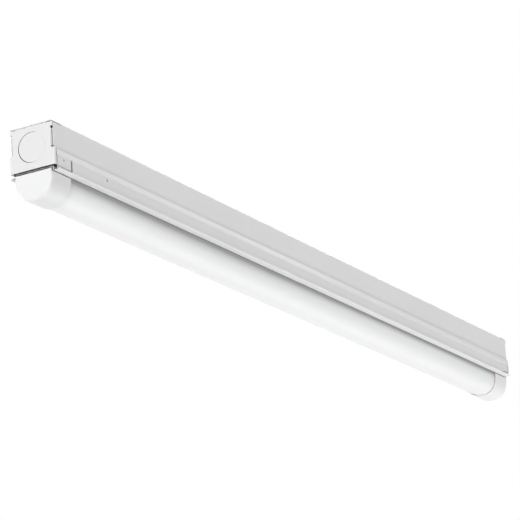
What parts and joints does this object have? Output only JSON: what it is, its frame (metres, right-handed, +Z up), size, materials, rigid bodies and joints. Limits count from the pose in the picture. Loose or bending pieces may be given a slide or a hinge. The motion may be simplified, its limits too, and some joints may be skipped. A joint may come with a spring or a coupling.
{
  "type": "led strip light",
  "caption": "Long ceiling strip light: folded steel channel, removable cover that carries the light, frosted U-shaped lens and moulded end caps; screws flat to a ceiling.",
  "frame": {"origin": "middle of the channel's back, on the face that lies against the ceiling", "axes": "+X along the fixture towards its right end, +Z up into the ceiling"},
  "size_m": [1.219, 0.0668, 0.09],
  "materials": {
    "white_paint": "satin white powder coat",
    "frosted_lens": "frosted milky acrylic",
    "white_plastic": "satin white moulding",
    "led_board": "white solder mask on an aluminium core",
    "led_phosphor": "yellow phosphor in a white package",
    "zinc_screw": "zinc-plated steel",
    "connector_plastic": "natural nylon",
    "terminal_plastic": "grey nylon",
    "bushing_plastic": "black nylon",
    "red_insulation": "red insulation",
    "blue_insulation": "blue insulation",
    "black_insulation": "black insulation",
    "white_insulation": "white insulation",
    "green_insulation": "green insulation",
    "driver_paint": "light grey paint",
    "circuit_board": "green solder mask",
    "transformer_tape": "yellow tape over a ferrite core",
    "capacitor_sleeve": "dark sleeve",
    "supply_plastic": "orange nylon"
  },
  "bodies": {
    "housing": {"channel": "white_paint", "left_end_plate": "white_paint", "right_end_plate": "white_paint"},
    "cover": {"cover": "white_paint", "left_led_board": "led_board", "right_led_board": "led_board", "left_leds": "led_phosphor", "right_leds": "led_phosphor", "board_screws": "zinc_screw", "board_link": "connector_plastic", "led_connector": "connector_plastic", "lead_bushing": "bushing_plastic", "positive_lead": "red_insulation", "negative_lead": "blue_insulation", "driver_case": "driver_paint", "driver_lid": "driver_paint", "driver_board": "circuit_board", "driver_transformer": "transformer_tape", "driver_capacitors": "capacitor_sleeve", "driver_input_terminal": "terminal_plastic", "driver_output_terminal": "terminal_plastic", "driver_screws": "zinc_screw", "supply_connector": "supply_plastic", "line_lead": "black_insulation", "neutral_lead": "white_insulation", "ground_lead": "green_insulation", "ground_screw": "zinc_screw", "wire_clip": "connector_plastic"},
    "lens": {"lens": "frosted_lens"},
    "left_cap": {"left_cap": "white_plastic"},
    "right_cap": {"right_cap": "white_plastic"}
  },
  "joints": [
    {"name": "cover_drop", "type": "slide", "parent": "housing", "child": "cover", "axis": [0, 0, -1], "range_m": [0, 0.08]},
    {"name": "lens_drop", "type": "slide", "parent": "cover", "child": "lens", "axis": [0, 0, -1], "range_m": [0, 0.04]},
    {"name": "left_cap_pull", "type": "slide", "parent": "lens", "child": "left_cap", "axis": [-1, 0, 0], "range_m": [0, 0.045]},
    {"name": "right_cap_pull", "type": "slide", "parent": "lens", "child": "right_cap", "axis": [1, 0, 0], "range_m": [0, 0.045]}
  ]
}
